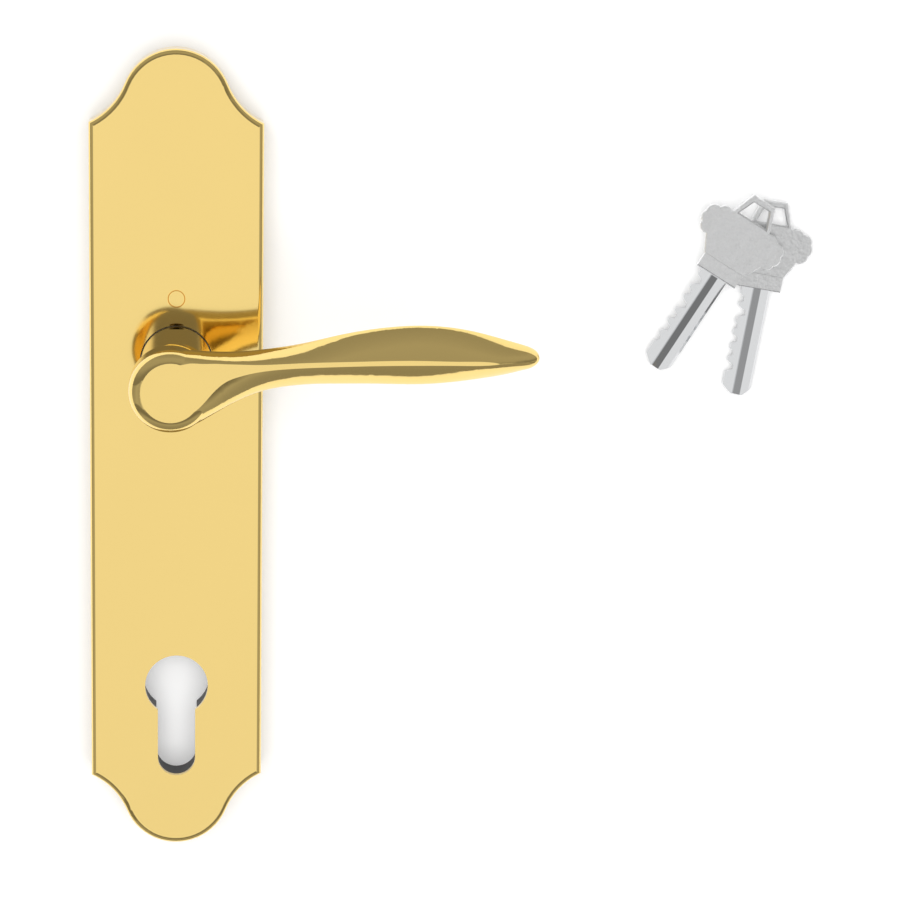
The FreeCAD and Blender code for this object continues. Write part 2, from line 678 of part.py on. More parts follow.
# ---------------------------------------------------------------- lever and its bearing
def make_lever_neck():
    neck, drive, foot = dim("neck_radius"), dim("drive_radius"), dim("neck_foot")
    shoulder, top = neck_shoulder, dim("head_back")
    body = turned_body("lever_neck", [
        (0, foot), (drive, foot), (drive, shoulder), (neck, shoulder), (neck, top), (0, top)])
    flats = sketch_on(body, "XY_Plane", "drive_flats", foot)
    for side in (-1, 1):
        inner, outer = dim("drive_flat") * side, neck * 1.1 * side
        left, right = (inner, outer) if side > 0 else (outer, inner)
        add_rectangle(flats, left, -neck, right, neck)
    pocket(body, flats, shoulder - foot, "drive_flat", upwards=True)
    square = sketch_on(body, "XY_Plane", "spindle_square", foot)
    half = dim("spindle_size") / 2
    add_rectangle(square, -half, -half, half, half)
    pocket(body, square, dim("spindle_depth") - foot, "spindle_socket", upwards=True)
    groove_foot = dim("driver_foot") - dim("rest_gap") * 2 - dim("ring_depth")
    groove = sketch_on(body, "XZ_Plane", "ring_groove_profile")
    add_rectangle(groove, ring_groove, groove_foot, neck, dim("driver_foot") - dim("rest_gap"))
    revolve(body, groove, "ring_groove", "PartDesign::Groove")
    grub = sketch_on(body, "XZ_Plane", "grub_hole_profile")
    add_circle(grub, 0, grub_height, dim("grub_radius"))
    pocket(body, grub, neck * 1.1, "grub_hole")
    return body


def make_grub_screw():
    """A socket set screw in the neck's top side, its point just clear of the spindle."""
    body = new_body("grub_screw")
    point = dim("spindle_size") / 2 + dim("carrier_gap")
    face = dim("neck_radius") - dim("grub_setback")
    barrel = sketch_on(body, "XZ_Plane", "grub_barrel_profile", -face)
    add_circle(barrel, 0, grub_height, dim("grub_radius") - dim("rest_gap") / 2)
    pad(body, barrel, face - point, "grub_barrel")
    socket = sketch_on(body, "XZ_Plane", "grub_socket_profile", -face)
    add_hexagon(socket, 0, grub_height, dim("grub_socket"))
    pocket(body, socket, (face - point) * 0.5, "grub_socket", upwards=True)
    return body


def section_points(row):
    """Points round one section of the grip, from the crest over the top edge and the back to the crest."""
    x, top, bottom, facet_top, facet_bottom, front, back, fullness = row
    middle = dim("grip_middle").value
    face = dim("head_front").value
    crest = (facet_top * bottom - facet_bottom * top) / (facet_top + bottom - top - facet_bottom)
    share = min((facet_top - crest) / (top - crest), 0.95)
    if front is None:
        front = middle + (face - middle) / (1 - share ** fullness) ** (1 / fullness)
    points = []
    for k in range(SECTION_POINTS):
        turn = 2 * math.pi * k / SECTION_POINTS
        across, out = math.sin(turn), math.cos(turn)
        power = 2 / (fullness if out > 0 else 2.0)
        wide = (top if across > 0 else bottom) - crest
        deep = (front if out > 0 else back) - middle
        y = crest + abs(wide) * math.copysign(abs(across) ** power, across)
        points.append(Vector(x, y, middle + abs(deep) * math.copysign(abs(out) ** power, out)))
    return points


def section_wire(row):
    curve = Part.BSplineCurve()
    curve.interpolate(Points=section_points(row), PeriodicFlag=True)
    return Part.Wire(curve.toShape())


def grip_rows():
    """The table of the grip's sections, stretched to the driving sizes."""
    long = dim("lever_reach").value / GRIP_TIP[0]
    high = dim("grip_height").value / GRIP_HEIGHT
    deep = (dim("head_front") - dim("head_back")).value / GRIP_DEPTH
    base = dim("head_back").value
    rows = []
    for x, top, bottom, facet_top, facet_bottom, front, back, fullness in GRIP_SECTIONS:
        raised = None if front is None else base + front * deep
        rows.append((
            x * long, top * high, bottom * high, facet_top * high, facet_bottom * high,
            raised, base + back * deep, fullness))
    tip = Vector(GRIP_TIP[0] * long, GRIP_TIP[1] * high, base + GRIP_TIP[2] * deep)
    return rows, tip


def make_lever_grip():
    """The forged lever: a round head that runs into a leaf-shaped grip, both under one flat facet."""
    radius, facet, edge = dim("head_radius"), dim("head_facet"), dim("head_edge")
    back, front = dim("head_back"), dim("head_front")
    head = turned_body("lever_head", [
        (0, back), (radius - edge, back), (radius, back + edge),
        (radius, front - dim("head_round"), dim("head_round") * 1.05), (facet, front), (0, front)])
    bind(head, "Placement.Base.x", -dim("head_left"))
    bind(head, "Placement.Base.y", -dim("head_drop"))
    rows, tip = grip_rows()
    blank = doc.addObject("Part::Feature", "grip_blank")
    blank.Shape = Part.makeLoft([section_wire(row) for row in rows] + [Part.Vertex(tip)], True, False)
    stock = doc.addObject("Part::Box", "facet_stock")
    bind(stock, "Length", dim("lever_reach") * 2)
    bind(stock, "Width", dim("lever_reach"))
    bind(stock, "Height", dim("head_round") * 2)
    bind(stock, "Placement.Base.x", -dim("lever_reach") / 2)
    bind(stock, "Placement.Base.y", -dim("lever_reach") / 2)
    bind(stock, "Placement.Base.z", front)
    grip = doc.addObject("Part::Cut", "grip_faceted")
    grip.Base = blank
    grip.Tool = stock
    fused = doc.addObject("Part::MultiFuse", "lever_grip")
    fused.Label = "lever_grip"
    fused.Shapes = [head, grip]
    fused.Refine = True
    return fused


def make_bearing_bush():
    """A flanged plastic bush: its barrel lines the carrier, its flange faces the chamber."""
    flange_foot = chamber_top - dim("bush_flange_depth")
    return turned_body("bearing_bush", [
        (bush_bore, flange_foot), (bush_flange, flange_foot), (bush_flange, chamber_top),
        (bush_outer, chamber_top), (bush_outer, carrier_top), (bush_bore, carrier_top)])


def make_washer(label, order):
    """One of two rings between the driver and the bush."""
    foot = neck_shoulder + dim("rest_gap") + order * washer_step
    bore = dim("neck_radius") + dim("carrier_gap")
    outer = bore + dim("washer_width")
    return turned_body(label, [
        (bore, foot), (outer, foot), (outer, foot + dim("washer_depth")),
        (bore, foot + dim("washer_depth"))])


def make_spring_driver():
    """The driver: a hub on the neck's flats, and a notched flange that meets the stop pin."""
    foot, hub_top = dim("driver_foot"), neck_shoulder
    body = new_body("spring_driver")
    hub = sketch_on(body, "XY_Plane", "driver_hub_circle", foot)
    add_circle(hub, 0, 0, driver_hub)
    pad(body, hub, hub_top - foot, "driver_hub")
    flange = sketch_on(body, "XY_Plane", "driver_flange_circle", foot)
    add_circle(flange, 0, 0, driver_outer)
    pad(body, flange, dim("driver_flange"), "driver_flange")
    hole = sketch_on(body, "XY_Plane", "driver_hole", foot)
    round_part = dim("drive_radius") + dim("rest_gap")
    flat = dim("drive_flat") + dim("rest_gap")
    end = root(round_part * round_part - flat * flat)
    add_outline(hole, [(flat, -end), (flat, end, round_part), (-flat, end), (-flat, -end, round_part)])
    pocket(body, hole, hub_top - foot, "driver_bore", upwards=True)
    floor = pin_above - dim("pin_radius") - dim("running_gap") * 2
    beside = dim("pin_radius") + dim("stop_gap")
    outside = driver_outer * 1.4
    floor_y = root(floor * floor - beside * beside)
    travel = dim("lever_travel")
    notch = sketch_on(body, "XY_Plane", "driver_notch_outline", foot)
    add_outline(notch, [
        (beside, floor_y), (beside, outside), turned((-beside, outside), travel),
        (*turned((-beside, floor_y), travel), -floor)])
    pocket(body, notch, dim("driver_flange"), "driver_notch", upwards=True)
    slot = sketch_on(body, "XY_Plane", "driver_slot_outline", hub_top)
    half = dim("wire") / 2 + dim("carrier_gap")
    inner, outer = leg_inner - dim("carrier_gap"), driver_hub * 1.1
    add_outline(slot, [
        turned(corner, spring_foot_angle) for corner in
        ((inner, -half), (outer, -half), (outer, half), (inner, half))])
    pocket(body, slot, hub_top - coil_foot + half, "driver_slot")
    return body


# The fixed leg lies against the stop pin's far side, and the coil runs down from it to the driven leg.
leg_offset = dim("pin_radius") + dim("wire") / 2 + dim("stop_gap")
spring_top_angle = 90 + Size(
    math.degrees(math.asin(leg_offset.value / pin_above.value)),
    f"(asin({leg_offset.text} / {pin_above.text}) / 1 deg)")
spring_foot_angle = spring_top_angle - 360 * dim("coil_turns")


def make_leg(name, angle, height, inner, outer):
    """A straight radial length of the spring's wire."""
    made = doc.addObject("Part::Cylinder", name)
    bind(made, "Radius", dim("wire") / 2 - dim("leg_relief"))
    bind(made, "Height", outer - inner)
    x, y = polar(inner, angle)
    turn = math.radians(angle.value)
    outwards = Vector(math.cos(turn), math.sin(turn), 0)
    made.Placement = Placement(
        Vector(x.value, y.value, height.value), Rotation(Vector(0, 0, 1), outwards))
    return made


def make_return_spring():
    """The torsion spring: a coil round the hub with one leg out to the pin and one in to the driver."""
    top = coil_foot + coil_pitch * dim("coil_turns")
    helix = doc.addObject("Part::Helix", "coil_line")
    bind(helix, "Pitch", coil_pitch)
    bind(helix, "Height", coil_pitch * dim("coil_turns"))
    bind(helix, "Radius", coil_radius)
    section = doc.addObject("Part::Circle", "wire_section")
    bind(section, "Radius", dim("wire") / 2)
    rise = coil_pitch.value / (2 * math.pi)
    section.Placement = Placement(
        Vector(coil_radius.value, 0, 0), Rotation(Vector(0, 0, 1), Vector(0, coil_radius.value, rise)))
    coil = doc.addObject("Part::Sweep", "coil")
    coil.Sections = [section]
    coil.Spine = (helix, [])
    coil.Solid = True
    coil.Frenet = True
    coil.Placement = Placement(
        Vector(0, 0, coil_foot.value), Rotation(Vector(0, 0, 1), spring_foot_angle.value))
    bind(coil, "Placement.Base.z", coil_foot)
    pieces = [
        coil,
        make_leg("fixed_leg", spring_top_angle, top, coil_radius - dim("leg_lap"), leg_outer),
        make_leg("driven_leg", spring_foot_angle, coil_foot, leg_inner, coil_radius + dim("leg_lap")),
    ]
    spring = doc.addObject("Part::MultiFuse", "return_spring")
    spring.Label = "return_spring"
    spring.Shapes = pieces
    return spring


def make_circlip():
    """An open ring in the neck's groove, under the driver."""
    foot = dim("driver_foot") - dim("rest_gap") * 1.5 - dim("ring_depth")
    body = new_body("circlip")
    ring = sketch_on(body, "XY_Plane", "circlip_outline", foot)
    inner, outer, mouth = ring_groove + dim("rest_gap"), ring_outer, dim("ring_gap")
    add_outline(ring, [
        (*polar(outer, 270 + mouth), outer), (*polar(outer, 90), outer), polar(outer, 270 - mouth),
        (*polar(inner, 270 - mouth), -inner), (*polar(inner, 90), -inner), polar(inner, 270 + mouth)])
    pad(body, ring, dim("ring_depth"), "circlip_ring")
    return body


# ---------------------------------------------------------------- keys
def blade_corners(cuts):
    """The blade's outline from its stop round the plain edge and the point, then back along the cuts."""
    half, length, aside = dim("blade_width") / 2, dim("blade_length"), dim("blade_aside")
    point, flat = dim("blade_width") * 0.28, dim("cut_flat") / 2
    corners = [(half, length), (half, point), (half * 0.45, 0), (-half * 0.35, 0), (-half, point)]
    for k in reversed(range(len(cuts))):
        middle = dim("cut_first") - dim("cut_pitch") * k
        floor = -half + cuts[k]
        corners += [
            (-half, middle - flat - cuts[k] * CUT_SLOPE), (floor, middle - flat),
            (floor, middle + flat), (-half, middle + flat + cuts[k] * CUT_SLOPE)]
    corners.append((-half, length))
    return [(x - aside, y) for x, y in corners]


def bow_corners():
    """The bow: a tapered foot, two scalloped wings and a flat top, as a plain generic shape."""
    foot, foot_half = dim("bow_foot"), dim("bow_foot_width") / 2
    wing_half, wing, top = dim("bow_width") / 2, dim("bow_wing"), dim("bow_top")
    lobe = (top - wing) / 2
    side = [
        (foot_half, foot), (wing_half - lobe * 1.3, wing - lobe * 1.7, lobe * 0.9),
        (wing_half - lobe * 0.15, wing - lobe * 0.8, lobe * 0.9), (wing_half, wing + lobe * 0.5, lobe * 0.9),
        (wing_half - lobe * 1.1, wing + lobe * 1.6, lobe * 0.9), (wing_half - lobe * 2.4, top)]
    mirrored = []
    for k in range(len(side) - 1, -1, -1):
        x, y = side[k][0], side[k][1]
        arc = side[k - 1][2:] if k > 0 else ()
        mirrored.append((-x, y, *arc))
    return side + mirrored


def loop_corners(inset):
    """The ring loop on top of the bow, moved inwards by inset: four sides that narrow to the head."""
    inset = as_size(inset)
    foot, head = dim("bow_top") - dim("loop_bar") * 0.3, dim("key_length")
    return [
        (dim("loop_foot") - inset, foot + inset * 0.6), (dim("loop_head") - inset * 0.55, head - inset),
        (-dim("loop_head") + inset * 0.55, head - inset), (-dim("loop_foot") + inset, foot + inset * 0.6)]


def cut_along(body, name, corners, length):
    """Cuts a cross-section, drawn as (across, height), along the key from its tip."""
    sketch = sketch_on(body, "XZ_Plane", f"{name}_section")
    add_outline(sketch, corners)
    pocket(body, sketch, length, name)


def make_key(label, cuts):
    """A flat key lying on its side, tip at its own origin and bow up +Y."""
    body = new_body(label)
    thick, blade = dim("key_thickness"), dim("blade_thickness")
    bow = sketch_on(body, "XY_Plane", f"{label}_bow_outline")
    add_outline(bow, bow_corners())
    pad(body, bow, thick, f"{label}_bow")
    loop = sketch_on(body, "XY_Plane", f"{label}_loop_outline")
    add_outline(loop, loop_corners(0))
    pad(body, loop, thick, f"{label}_loop")
    hole = sketch_on(body, "XY_Plane", f"{label}_hole_outline")
    add_outline(hole, loop_corners(dim("loop_bar")))
    pocket(body, hole, thick, f"{label}_hole", upwards=True)
    chamfer_edges(body, lambda e: at_height(e, thick.value), dim("bow_chamfer"), f"{label}_bow_edge")
    foot = (thick - blade) / 2
    outline = sketch_on(body, "XY_Plane", f"{label}_blade_outline", foot)
    add_outline(outline, blade_corners(cuts))
    pad(body, outline, blade, f"{label}_blade")
    stop = sketch_on(body, "XY_Plane", f"{label}_stop_outline", (thick - dim("stop_thickness")) / 2)
    half = dim("stop_width") / 2
    add_rectangle(stop, -half, dim("blade_length"), half, dim("bow_foot") + dim("bow_chamfer"))
    pad(body, stop, dim("stop_thickness"), f"{label}_stop")
    left, top, deep = dim("groove_at") - dim("blade_aside"), foot + blade, dim("groove_depth")
    wide, steep, over = dim("groove_width"), dim("groove_steep"), dim("bow_chamfer")
    cut_along(body, f"{label}_groove", [
        (left, top), (left + steep, top - deep), (left + wide, top), (left + wide, top + over),
        (left, top + over)], dim("blade_length"))
    right = dim("blade_width") / 2 - dim("blade_aside")
    slope = dim("back_slope")
    cut_along(body, f"{label}_slope", [
        (right - slope, top), (right, top - slope), (right + over, top - slope),
        (right + over, top + over), (right - slope, top + over)], dim("blade_length"))
    cut_along(body, f"{label}_back_groove", [
        (left + wide, foot), (left + wide + steep, foot + deep), (left + wide * 2, foot),
        (left + wide * 2, foot - over), (left + wide, foot - over)], dim("blade_length"))
    return body


def lean_matrix(x, y, turn, slope_across, slope_along):
    """The placement of a flat piece whose own plane rises by these slopes, turned clockwise about Z."""
    across = Vector(1, 0, slope_across).normalize()
    normal = Vector(-slope_across, -slope_along, 1).normalize()
    along = normal.cross(across)
    tilt = Matrix(
        across.x, along.x, normal.x, 0, across.y, along.y, normal.y, 0,
        across.z, along.z, normal.z, 0, 0, 0, 0, 1)
    spun = Placement(Vector(x, y, 0), Rotation(Vector(0, 0, 1), -turn))
    return spun.multiply(Placement(tilt))


def place_keys(front, rear):
    """The rear key lies flat. The front key lies on it: tip on the table, bow on the rear key's bow."""
    rear.Placement = lean_matrix(
        dim("rear_key_x").value, dim("rear_key_y").value, dim("rear_key_turn").value, 0, 0)
    to_front = lean_matrix(
        dim("front_key_x").value, dim("front_key_y").value, dim("front_key_turn").value, 0, 0).inverse()
    wing = Vector(-dim("bow_width").value / 2, dim("bow_wing").value, 0)
    corner = Vector(-dim("bow_foot_width").value / 2, dim("bow_foot").value, 0)
    a, b = (to_front.multVec(rear.Placement.multVec(p)) for p in (wing, corner))
    height = dim("key_thickness").value + dim("rest_gap").value
    det = b.x * a.y - a.x * b.y
    slope_across = height * (a.y - b.y) / det
    slope_along = height * (b.x - a.x) / det
    front.Placement = lean_matrix(
        dim("front_key_x").value, dim("front_key_y").value, dim("front_key_turn").value,
        slope_across, slope_along)
    front.Placement.Base = front.Placement.Base + Vector(0, 0, dim("rest_gap").value)


# ---------------------------------------------------------------- build, check and write
def main():
    parts = [
        make_cover_plate(), make_cover_studs(), make_cover_screws(), make_carrier_plate(),
        make_fixing_post("upper_fixing_post", upper_post_y),
        make_fixing_post("lower_fixing_post", lower_post_y),
        make_keeper_plate(), make_keeper_screws(), make_stop_pin(), make_bearing_bush(),
        make_washer("wave_washer", 0), make_washer("thrust_washer", 1), make_spring_driver(),
        make_return_spring(), make_circlip(), make_lever_neck(), make_grub_screw(), make_lever_grip(),
    ]
    front, rear = make_key("key_front", FRONT_CUTS), make_key("key_rear", REAR_CUTS)
    place_keys(front, rear)
    parts += [front, rear]
    doc.recompute()
    for thing in doc.Objects:
        if "Invalid" in thing.State or "Error" in thing.State:
            raise RuntimeError(f"{thing.Name} failed: {thing.State}")
    for part in parts:
        shape = part.Shape
        if shape.isNull() or not shape.isValid() or not shape.Solids:
            raise RuntimeError(f"{part.Label} has no valid solid")
    os.makedirs("parts", exist_ok=True)
    for part in parts:
        part.Shape.exportStep(f"parts/{part.Label}.step")
        box = part.Shape.BoundBox
        print(
            f"{part.Label}: {len(part.Shape.Solids)} solid(s), {part.Shape.Volume:.1f} mm3, "
            f"x {box.XMin:.2f} to {box.XMax:.2f}, y {box.YMin:.2f} to {box.YMax:.2f}, "
            f"z {box.ZMin:.2f} to {box.ZMax:.2f}")


main()
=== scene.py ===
import math

import bpy
import numpy as np
from bpy.props import FloatProperty, FloatVectorProperty, PointerProperty
from bpy.types import Operator, Panel, PropertyGroup
from mathutils import Matrix, Vector

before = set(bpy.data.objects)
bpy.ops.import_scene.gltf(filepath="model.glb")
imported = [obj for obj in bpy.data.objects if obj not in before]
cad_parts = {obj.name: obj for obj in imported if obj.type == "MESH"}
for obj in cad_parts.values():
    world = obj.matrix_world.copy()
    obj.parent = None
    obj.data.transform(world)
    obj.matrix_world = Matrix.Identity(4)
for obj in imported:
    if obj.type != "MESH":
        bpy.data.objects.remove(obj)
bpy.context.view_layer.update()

bl_info = {
    "name": "Lever Handle Set",
    "version": (1, 0, 0),
    "blender": (4, 5, 0),
    "location": "View3D > Sidebar > Lever Handle",
    "description": "Finishes and stages a brass lever handle on a long plate, with its loose keys",
    "category": "Object",
}

MM = 0.001
KEY_BLADE = 30.5 * MM  # tip of a key to its stop, where the polished blade ends
KEY_PLACES = (  # node, tip of the key across and up the door, and how far it leans clockwise in degrees
    ("key_front", (134.4 * MM, -2.7 * MM), 31.5), ("key_rear", (157.6 * MM, -10.4 * MM), 9.6))
BLADE_EDGE = 4000.0  # steepness of the change from blade to bow, per metre
TABLE_HALF = 0.6
TABLE_DROP = 0.00002  # keeps the table from sharing a plane with the plate's back
TABLE_GLOW = 0.2
AMBIENT = 0.55


# ---------------------------------------------------------------- settings
def colour(name, description, default):
    return FloatVectorProperty(
        name=name, description=description, default=default, subtype="COLOR", size=3, min=0.0, max=1.0)


class HANDLE_PG_finishes(PropertyGroup):
    """Colours and roughnesses of the handle's metals and plastics."""

    brass: colour("Polished brass", "Reflected colour of the plate and the lever", (0.905, 0.675, 0.245))
    raw_brass: colour("Machined brass", "Reflected colour of the studs", (0.80, 0.585, 0.27))
    nickel: colour("Nickel", "Reflected colour of the keys", (0.83, 0.84, 0.85))
    zinc: colour("Zinc plate", "Reflected colour of the fixings", (0.60, 0.61, 0.63))
    black_steel: colour("Black oxide", "Reflected colour of the grub screw", (0.05, 0.048, 0.045))
    carrier: colour("Carrier nylon", "Colour of the glass-filled carrier", (0.055, 0.056, 0.06))
    bush: colour("Bush nylon", "Colour of the bearing bush", (0.74, 0.73, 0.69))
    brass_roughness: FloatProperty(
        name="Brass roughness", description="Roughness of the polished brass", default=0.06, min=0.0, max=1.0)


class HANDLE_PG_stage(PropertyGroup):
    """Camera and studio."""

    lens: FloatProperty(
        name="Lens", description="Focal length of the camera", default=126.16, min=10.0, unit="CAMERA")
    distance: FloatProperty(
        name="Camera distance", description="Camera to the middle of the plate", default=0.874, unit="LENGTH")
    tilt: FloatProperty(
        name="Camera tilt", description="How far the camera looks down the door", default=math.radians(11.0),
        subtype="ANGLE")
    swing: FloatProperty(
        name="Camera swing", description="How far the camera looks to the side",
        default=math.atan(273.5 / 3154.0), subtype="ANGLE")
    softbox: FloatProperty(
        name="Softbox", description="Power of the large lamp over the table", default=2.2, min=0.0,
        unit="POWER")


# ---------------------------------------------------------------- node helpers
def new_group(name, inputs, outputs):
    """An empty shader node group with float or colour sockets."""
    group = bpy.data.node_groups.new(name, "ShaderNodeTree")
    for label, kind, default in inputs:
        socket = group.interface.new_socket(name=label, in_out="INPUT", socket_type=kind)
        socket.default_value = default
    for label, kind in outputs:
        group.interface.new_socket(name=label, in_out="OUTPUT", socket_type=kind)
    return group, group.nodes.new("NodeGroupInput"), group.nodes.new("NodeGroupOutput")


def math_node(tree, operation, a, b=None, clamp=False, c=None):
    """One math node; a, b and c are sockets or numbers."""
    node = tree.nodes.new("ShaderNodeMath")
    node.operation = operation
    node.use_clamp = clamp
    for socket, value in zip(node.inputs, (a, b, c)):
        if value is None:
            continue
        if isinstance(value, (int, float)):
            socket.default_value = value
        else:
            tree.links.new(value, socket)
    return node.outputs[0]


def noise_node(tree, vector, scale, detail=3.0, roughness=0.5):
    node = tree.nodes.new("ShaderNodeTexNoise")
    node.inputs["Detail"].default_value = detail
    node.inputs["Roughness"].default_value = roughness
    if isinstance(scale, (int, float)):
        node.inputs["Scale"].default_value = scale
    else:
        tree.links.new(scale, node.inputs["Scale"])
    tree.links.new(vector, node.inputs["Vector"])
    return node.outputs["Fac"]


def mapped(tree, vector, scale=(1, 1, 1), turn=0.0, shift=(0, 0, 0)):
    """Coordinates stretched, turned about Z and shifted by a Mapping node."""
    mapping = tree.nodes.new("ShaderNodeMapping")
    mapping.inputs["Scale"].default_value = scale
    mapping.inputs["Rotation"].default_value = (0, 0, turn)
    mapping.inputs["Location"].default_value = shift
    tree.links.new(vector, mapping.inputs["Vector"])
    return mapping.outputs["Vector"]


def object_coordinates(tree):
    return tree.nodes.new("ShaderNodeTexCoord").outputs["Object"]


def polish_group():
    """Buffing marks and handling haze: a fine noise and a broad one, mixed into a mask and a height."""
    group, entry, result = new_group(
        "Polish marks",
        [("Vector", "NodeSocketVector", (0, 0, 0)), ("Fine scale", "NodeSocketFloat", 900.0),
         ("Broad scale", "NodeSocketFloat", 40.0), ("Base", "NodeSocketFloat", 0.06),
         ("Spread", "NodeSocketFloat", 0.05)],
        [("Roughness", "NodeSocketFloat"), ("Height", "NodeSocketFloat"), ("Haze", "NodeSocketFloat")])
    fine = noise_node(group, entry.outputs["Vector"], entry.outputs["Fine scale"], 4.0, 0.6)
    broad = noise_node(group, entry.outputs["Vector"], entry.outputs["Broad scale"], 3.0, 0.55)
    both = math_node(group, "MULTIPLY", fine, broad)
    spread = math_node(group, "MULTIPLY", both, entry.outputs["Spread"])
    rough = math_node(group, "ADD", spread, entry.outputs["Base"])
    group.links.new(rough, result.inputs["Roughness"])
    height = math_node(group, "ADD", broad, math_node(group, "MULTIPLY", fine, 0.15))
    group.links.new(height, result.inputs["Height"])
    group.links.new(broad, result.inputs["Haze"])
    return group


def grain_group():
    """A cast, sand-like grain: cells broken up by noise, as a height and a mask."""
    group, entry, result = new_group(
        "Sand grain",
        [("Vector", "NodeSocketVector", (0, 0, 0)), ("Scale", "NodeSocketFloat", 1500.0),
         ("Base", "NodeSocketFloat", 0.3), ("Spread", "NodeSocketFloat", 0.2)],
        [("Roughness", "NodeSocketFloat"), ("Height", "NodeSocketFloat"), ("Mask", "NodeSocketFloat")])
    cells = group.nodes.new("ShaderNodeTexVoronoi")
    group.links.new(entry.outputs["Vector"], cells.inputs["Vector"])
    group.links.new(entry.outputs["Scale"], cells.inputs["Scale"])
    noise = noise_node(group, entry.outputs["Vector"], entry.outputs["Scale"], 5.0, 0.65)
    height = math_node(group, "ADD", cells.outputs["Distance"], noise)
    spread = math_node(group, "MULTIPLY", noise, entry.outputs["Spread"])
    group.links.new(math_node(group, "ADD", spread, entry.outputs["Base"]), result.inputs["Roughness"])
    group.links.new(height, result.inputs["Height"])
    group.links.new(noise, result.inputs["Mask"])
    return group


GROUPS = {}


def place_group(tree, kind, vector, **values):
    """Puts a shared group into a material with its own values."""
    node = tree.nodes.new("ShaderNodeGroup")
    node.node_tree = GROUPS[kind]
    tree.links.new(vector, node.inputs["Vector"])
    for label, value in values.items():
        node.inputs[label.replace("_", " ")].default_value = value
    return node


def new_material(name):
    material = bpy.data.materials.new(name)
    material.use_nodes = True
    return material, material.node_tree, material.node_tree.nodes["Principled BSDF"]


def shade(tree, mask, dark, light):
    """A colour that runs from dark to light with a mask."""
    mix = tree.nodes.new("ShaderNodeMix")
    mix.data_type = "RGBA"
    mix.inputs["A"].default_value = (*dark, 1.0)
    mix.inputs["B"].default_value = (*light, 1.0)
    tree.links.new(mask, mix.inputs["Factor"])
    return mix.outputs["Result"]


def bump(tree, shader, height, distance, strength=1.0):
    node = tree.nodes.new("ShaderNodeBump")
    node.inputs["Distance"].default_value = distance
    node.inputs["Strength"].default_value = strength
    tree.links.new(height, node.inputs["Height"])
    tree.links.new(node.outputs["Normal"], shader.inputs["Normal"])


def tint(rgb, factor):
    return tuple(min(c * factor, 1.0) for c in rgb)


def polished_metal(name, rgb, roughness, spread, broad, depth, variation=0.03):
    """A buffed metal: haze varies its roughness and tint, and a faint wave bends what it reflects."""
    material, tree, shader = new_material(name)
    marks = place_group(
        tree, "polish", object_coordinates(tree), Fine_scale=1400.0, Broad_scale=broad, Base=roughness,
        Spread=spread)
    tree.links.new(marks.outputs["Roughness"], shader.inputs["Roughness"])
    tree.links.new(
        shade(tree, marks.outputs["Haze"], tint(rgb, 1 - variation), tint(rgb, 1 + variation)),
        shader.inputs["Base Color"])
    shader.inputs["Metallic"].default_value = 1.0
    bump(tree, shader, marks.outputs["Height"], depth, 1.0)
    return material


def grained_surface(name, rgb, metallic, roughness, spread, scale, depth, variation=0.1):
    """A blasted metal or a moulded plastic: fine grain in height, roughness and tint."""
    material, tree, shader = new_material(name)
    grain = place_group(
        tree, "grain", object_coordinates(tree), Scale=scale, Base=roughness, Spread=spread)
    tree.links.new(grain.outputs["Roughness"], shader.inputs["Roughness"])
    tree.links.new(
        shade(tree, grain.outputs["Mask"], tint(rgb, 1 - variation), tint(rgb, 1 + variation)),
        shader.inputs["Base Color"])
    shader.inputs["Metallic"].default_value = metallic
    bump(tree, shader, grain.outputs["Height"], depth, 1.0)
    return material


def key_material(name, rgb, foot, lean, blade_end):
    """Nickel plate: a blasted bow above blade_end, and below it a blade drawn smooth along its length."""
    material, tree, shader = new_material(name)
    turn = math.radians(lean)
    to_tip = (
        -(foot[0] * math.cos(turn) - foot[1] * math.sin(turn)),
        -(foot[0] * math.sin(turn) + foot[1] * math.cos(turn)), 0)
    along = mapped(tree, object_coordinates(tree), turn=turn, shift=to_tip)
    split = tree.nodes.new("ShaderNodeSeparateXYZ")
    tree.links.new(along, split.inputs[0])
    past = math_node(tree, "SUBTRACT", split.outputs["Y"], blade_end)
    bow = math_node(tree, "MULTIPLY", past, BLADE_EDGE, True)
    grain = place_group(
        tree, "grain", object_coordinates(tree), Scale=1100.0, Base=0.22, Spread=0.22)
    drawn = noise_node(tree, mapped(tree, along, scale=(1.0, 0.03, 1.0)), 2200.0, 3.0, 0.6)
    lifted = math_node(tree, "ADD", grain.outputs["Mask"], 0.35, True)
    sanded = math_node(tree, "MULTIPLY", grain.outputs["Height"], bow)
    fine = math_node(tree, "MULTIPLY", drawn, 0.02)
    blasted = math_node(tree, "MULTIPLY", grain.outputs["Roughness"], bow)
    rough = math_node(tree, "ADD", blasted, math_node(tree, "MULTIPLY", drawn, 0.16))
    tree.links.new(rough, shader.inputs["Roughness"])
    tree.links.new(
        shade(tree, math_node(tree, "MULTIPLY", lifted, bow), tint(rgb, 0.84), tint(rgb, 1.2)),
        shader.inputs["Base Color"])
    shader.inputs["Metallic"].default_value = 1.0
    bump(tree, shader, math_node(tree, "ADD", sanded, fine), 0.00008, 1.0)
    return material


# ---------------------------------------------------------------- operators
def dress(node, material):
    """Gives every material slot of a carried-over node one material."""
    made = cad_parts[node]
    made.data.materials.clear()
    made.data.materials.append(material)


class HANDLE_OT_groups(Operator):
    """Makes the shared node groups: polish marks and sand grain"""

    bl_idname = "handle.groups"
    bl_label = "Shared Effects"

    def execute(self, context):
        GROUPS["polish"] = polish_group()
        GROUPS["grain"] = grain_group()
        return {"FINISHED"}


